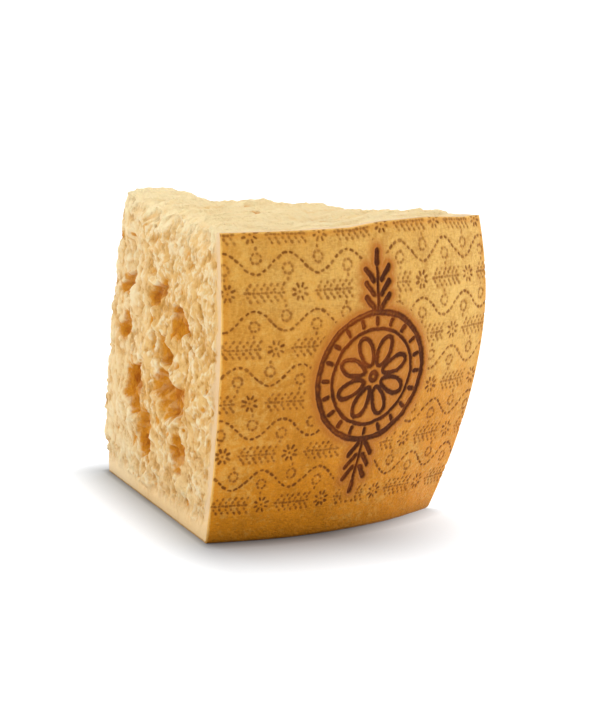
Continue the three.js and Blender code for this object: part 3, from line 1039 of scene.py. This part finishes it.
def waxy_rind(rind):
    """Firm ochre rind: deeper at its foot, partly as painted shade; paler with dry bloom and painted sheen;
    speckled, dark in its dashes and burnt on its mark, with a painted highlight along the burnt lines.
    """
    finish = Finish("waxy_rind", rind.ochre)
    dash = finish.field("dash_edge")
    mark = finish.field("mark_edge")
    scorch = finish.field("scorch")
    wide = finish.noise(42 * MM, 2.0)
    blotch = finish.noise(9 * MM, 3.0)
    speckle = finish.noise(1.7 * MM, 3.0)
    fine = finish.noise(0.9 * MM, 3.0, finish.stretched((1.0, 1.0, 0.45)), 0.6)
    thread = finish.noise(1.0 * MM, 2.0, finish.stretched((0.35, 0.35, 1.3)), 0.6)
    wide_off, blotch_off, speckle_off = (noise - 0.5 for noise in (wide, blotch, speckle))
    height = finish.height()

    # Deeper towards the foot: partly the rind's own colour, partly painted shade where the side turns down
    # to the floor.
    low = 1 - finish.ramp(height + wide_off * 0.06, 5 * MM, 130 * MM)
    finish.paint(low, rind.deep_ochre)
    # Paler with the rind's dry bloom, and, in the spots on the right, with painted sheen and painted light
    # standing in for the light from the right.
    paling = finish.field("bloom") + blotch_off * 0.9 + speckle_off * 0.6 + wide_off * 0.8
    finish.paint(finish.ramp(paling, 0.2, 1.0), rind.bloom)
    dark = [0.62 * channel for channel in rind.deep_ochre]
    spots = finish.ramp(speckle * 0.6 + fine * 0.4 + thread * 0.4 + blotch_off * 0.7, 0.52, 0.95)
    finish.paint(spots * 0.6, dark)
    # Painted shade: darker where the spots' strength is negative, on the rind's left.
    finish.paint(finish.ramp(0 - finish.field("bloom"), 0.0, 1.0) * 0.4, dark)
    dust = finish.ramp(finish.noise(3.2 * MM, 4.0, rough=0.7) + wide_off * 0.4, 0.48, 0.72)
    finish.paint(dust * 0.35, rind.bloom)
    edge = finish.field("edge") + speckle_off * 1.2
    finish.paint((1 - finish.ramp(edge, 1.5, 4.0)) * 0.35, rind.deep_ochre)
    finish.paint((1 - finish.ramp(edge, 0.1, 0.9)) * 0.7, rind.bloom)
    # Darker along the very foot: partly the rind's own colour, partly painted shade next to the floor.
    foot = 1 - finish.ramp(height + blotch_off * 4 * MM, 1 * MM, 8 * MM)
    finish.paint(foot * 0.5, dark)
    finish.paint(scorch * (0.6 + 1.0 * blotch), rind.toast)

    ragged = speckle_off * 0.9
    halo = 1 - finish.ramp(dash + ragged, -0.1, 1.0)
    finish.paint(halo * 0.3, rind.toast)
    pressed = 1 - finish.ramp(dash + ragged, -0.25, 0.3)
    strength = finish.field("dash_tone") * (0.45 + 0.6 * blotch + 0.25 * low)
    finish.paint(pressed * strength, rind.pressed)
    burnt = 1 - finish.ramp(mark + ragged * 1.2, -0.35, 0.45)
    char = finish.ramp(wide + blotch_off * 0.7 + speckle_off * 0.4, 0.15, 0.65)
    finish.paint(burnt * 0.95, finish.mix(char, rind.singed, rind.burnt))
    # Painted highlight: the middles of the wider burnt lines are painted lighter, as a ridge along each line
    # would catch the light.
    line_highlight = 1 - finish.ramp(mark + ragged, -1.5, -0.7)
    finish.paint(line_highlight * (1 - char) * 0.45, rind.toast)

    skin = fine * 0.6 + thread * 0.6 + speckle + finish.noise(3.5 * MM, 3.0)
    return finish.surface({
        "Roughness": 0.5 + 0.25 * burnt + blotch_off * 0.2,
        "Specular IOR Level": 0.14,
        "Subsurface Weight": 0.05,
        "Subsurface Radius": (1.0, 0.5, 0.15),
        "Subsurface Scale": 2 * MM,
        "Normal": finish.bump(skin, 0.6 * MM),
    })


def foot_line(block, share):
    """Outward direction of the left side's foot (share 0) or the right one's (1), and its place that way."""
    base = np.zeros(1)
    outward = face_normal(block, share, base)[0]
    corner = tip_point(block, share, base)[0] - (0, BOX_MIDDLE)
    return (*outward, 0), float(outward @ corner)


def white_floor(block):
    """Plain, pale studio floor: a painted shadow darkens it at the block's foot, and it glows more and more
    away from it, as painted light.
    """
    finish = Finish("studio_floor", FLOOR_GREY)
    axis = (0, block.centre_y - BOX_MIDDLE, 0)
    from_axis = finish.add("ShaderNodeVectorMath", {"operation": "DISTANCE"}, {
        0: finish.place, 1: axis}, "Value")

    def beyond(outward, first):
        """How far the floor lies beyond a straight edge."""
        run = finish.add("ShaderNodeVectorMath", {"operation": "DOT_PRODUCT"}, {
            0: finish.place, 1: outward}, "Value")
        return run - first

    def away(*parts):
        """Rounded distance from several edges, each in shares of its own reach, from 0 to 1."""
        total = 0
        for distance, reach in parts:
            share = distance * (1 / reach)
            total = share.math("MAXIMUM", share, 0).squared() + total
        return finish.add("ShaderNodeMapRange", None, {"Value": total.math("SQRT", total, 0)}, "Result")

    rind = from_axis - (block.wheel_radius - block.rim_drop)
    left = beyond(*foot_line(block, 0))
    right = beyond(*foot_line(block, 1))
    tip = beyond((0, 1, 0), TIP_BASE[1])
    middle = beyond((1, 0, 0), WHITE_MIDDLE)
    far = away((rind, WHITE_FROM_RIND), (left, WHITE_FROM_LEFT), (tip, WHITE_FROM_TIP),
               (middle, WHITE_TOWARDS_RIGHT))
    # Painted shadow: darker grey close round the block's foot, less of it towards the right.
    painted_shadow = 1 - away((rind, CONTACT_AT_RIND), (left, CONTACT_AT_SIDES), (tip, CONTACT_AT_SIDES),
                     (right, CONTACT_AT_SIDES))
    painted_shadow = painted_shadow * (1 - 0.6 * away((middle, WHITE_TOWARDS_RIGHT)))
    # Painted light: the floor glows more and more away from the block, less within the painted shadow.
    painted_glow = finish.mix(far * (1 - 0.85 * painted_shadow), GLOW_LEAST, GLOW_MOST)
    finish.paint(painted_shadow, PAINTED_SHADOW_GREY)
    return finish.surface({"Roughness": 0.9, "Emission Color": painted_glow, "Emission Strength": 1.0})


# Operators, one for each piece.

class CHEESE_OT_paste(bpy.types.Operator):
    """Model the torn paste of the block"""
    bl_idname = "cheese.paste"
    bl_label = "Paste"

    def execute(self, context):
        block = context.scene.cheese_block
        paste = context.scene.cheese_paste
        piece = start_box("cheese_paste")
        for axis, (coarse, fine) in enumerate(PASTE_CELLS):
            cut_along(piece, axis, coarse)
            cut_along(piece, axis, fine)
        select_faces(piece, lambda face: face.normal.z < -0.9)
        bpy.ops.mesh.dissolve_limited(angle_limit=math.radians(1))
        bpy.ops.object.mode_set(mode="OBJECT")

        across, deep, rise = (read_points(piece) + 0.5).T
        places = Places(block, across, deep, rise, block.rind_thickness)
        points, fields = shape_points(block, paste, places)
        write_points(piece, points)
        write_fields(piece, {**fields, "from_rind": places.from_rind / MM})
        thin_out(piece, PASTE_TRIANGLES)
        finish_piece(piece, torn_paste(paste), 38)
        return {"FINISHED"}


class CHEESE_OT_rind(bpy.types.Operator):
    """Model the rind with its pressed ornament and its burnt mark"""
    bl_idname = "cheese.rind"
    bl_label = "Rind"

    def execute(self, context):
        block = context.scene.cheese_block
        rind = context.scene.cheese_rind
        piece = start_box("cheese_rind")
        cut_along(piece, 0, RIND_CELLS_COARSE)
        cut_along(piece, 2, RIND_CELLS_COARSE)
        select_faces(piece, lambda face: face.normal.y < -0.9)
        bpy.ops.mesh.subdivide(number_cuts=RIND_CELLS_FINE - 1)
        bpy.ops.object.mode_set(mode="OBJECT")

        across, deep, rise = (read_points(piece) + 0.5).T
        places = Places(block, across, deep, rise, 0.0, block.rind_thickness)
        z = places.z + torn_top(block, places) * rise_share(block, places.z)
        points = np.column_stack([places.plan, z])
        points[:, 1] -= BOX_MIDDLE
        x = block.wheel_radius * places.angle
        outside = deep < 0.5
        dash, tone = dash_distance(rind, x, places.z, pressed_dashes(block, rind))
        mark = mark_distance(x, places.z)
        in_mark = mark_field(x, places.z, mark)
        dash = np.maximum(dash, (in_mark - 0.3) * 20 * MM)
        sunk = rind.dash_depth * (1 - smoothstep(-0.4 * MM, 0.25 * MM, dash))
        sunk = np.maximum(sunk, rind.burn_depth * (1 - smoothstep(-0.7 * MM, 0.3 * MM, mark)))
        sunk -= 0.25 * MM * bell(mark - 0.9 * MM, 0.6 * MM)
        swell = 0.35 * MM * facets(x, places.z, 19 * MM, 3, 510)
        swell += 0.12 * MM * facets(x, places.z, 7 * MM, 4, 520)
        edge = smoothstep(0, 3 * MM, places.from_side)
        out = np.where(outside, (swell * edge - sunk), 0)
        points[:, 0] += out * np.sin(places.angle)
        points[:, 1] -= out * np.cos(places.angle)
        write_points(piece, points)
        write_fields(piece, {
            "dash_edge": dash / MM,
            "dash_tone": tone,
            "mark_edge": mark / MM,
            "scorch": in_mark,
            "bloom": sheen_shade_and_bloom_field(x, places.z),
            "edge": np.minimum(places.from_side, block.height - places.z) / MM,
        })
        finish_piece(piece, waxy_rind(rind), 50)
        return {"FINISHED"}


class CHEESE_OT_stage(bpy.types.Operator):
    """Set up the floor, the lights and the camera"""
    bl_idname = "cheese.stage"
    bl_label = "Stage"

    def execute(self, context):
        studio = context.scene.cheese_studio
        bpy.ops.object.select_all(action="DESELECT")
        bpy.ops.mesh.primitive_plane_add(size=studio.floor_size, location=(0, 0, 0))
        floor = context.object
        floor.name = "studio_floor"
        floor.data.materials.append(white_floor(context.scene.cheese_block))

        world = bpy.data.worlds.new("even_sky")
        world.use_nodes = True
        world.node_tree.nodes["Background"].inputs["Color"].default_value = (1, 1, 1, 1)
        world.node_tree.nodes["Background"].inputs["Strength"].default_value = studio.sky
        context.scene.world = world

        add_softbox("top_light", (0.05, 0.15, 1.4), 1.0, studio.top_power)
        add_softbox("side_light", (1.5, -0.8, 0.2), 1.0, studio.side_power)
        add_softbox("left_light", (-1.5, 0.5, 0.6), 1.2, studio.left_power)
        add_camera(context, studio)
        context.scene.view_settings.view_transform = "Standard"
        return {"FINISHED"}


def add_softbox(name, place, size, power):
    """A square area light that looks at the block."""
    bpy.ops.object.light_add(type="AREA", location=place)
    light = bpy.context.object
    light.name = name
    light.data.size = size
    light.data.energy = power
    light.rotation_mode = "QUATERNION"
    light.rotation_quaternion = light.location.to_track_quat("Z", "Y")


def add_camera(context, studio):
    """The camera, at the viewing angle of the reference."""
    turn = Matrix.Rotation(studio.azimuth, 4, "Z") @ Matrix.Rotation(math.pi / 2 - studio.elevation, 4, "X")
    bpy.ops.object.camera_add()
    camera = context.object
    camera.name = "studio_camera"
    camera.matrix_world = (Matrix.Translation(studio.eye) @ turn @ Matrix.Rotation(studio.roll, 4, "Z"))
    camera.data.lens = studio.lens
    camera.data.sensor_width = 36
    camera.data.shift_x, camera.data.shift_y = studio.shift
    camera.data.clip_end = 100
    context.scene.camera = camera


class CHEESE_PT_panel(bpy.types.Panel):
    """Lists the block's pieces and their sizes"""
    bl_idname = "CHEESE_PT_panel"
    bl_label = "Aged Cheese Block"
    bl_space_type = "VIEW_3D"
    bl_region_type = "UI"
    bl_category = "Cheese"

    def draw(self, context):
        for operator in OPERATORS:
            self.layout.operator(operator.bl_idname)
        for name, settings in SETTINGS.items():
            box = self.layout.box()
            for key in settings.__annotations__:
                box.prop(getattr(context.scene, name), key)


SETTINGS = {
    "cheese_block": BlockSettings,
    "cheese_paste": PasteSettings,
    "cheese_rind": RindSettings,
    "cheese_studio": StudioSettings,
}
OPERATORS = (CHEESE_OT_paste, CHEESE_OT_rind, CHEESE_OT_stage)
CLASSES = (*SETTINGS.values(), *OPERATORS, CHEESE_PT_panel)


def register():
    """Registers the settings, the operators and the panel."""
    for each in CLASSES:
        bpy.utils.register_class(each)
    for name, settings in SETTINGS.items():
        setattr(bpy.types.Scene, name, bpy.props.PointerProperty(type=settings))


def unregister():
    """Takes everything out again."""
    for name in SETTINGS:
        delattr(bpy.types.Scene, name)
    for each in reversed(CLASSES):
        bpy.utils.unregister_class(each)


def main():
    """Makes the block and its stage."""
    register()
    bpy.ops.cheese.paste()
    bpy.ops.cheese.rind()
    bpy.ops.cheese.stage()


if __name__ == "__main__":
    main()
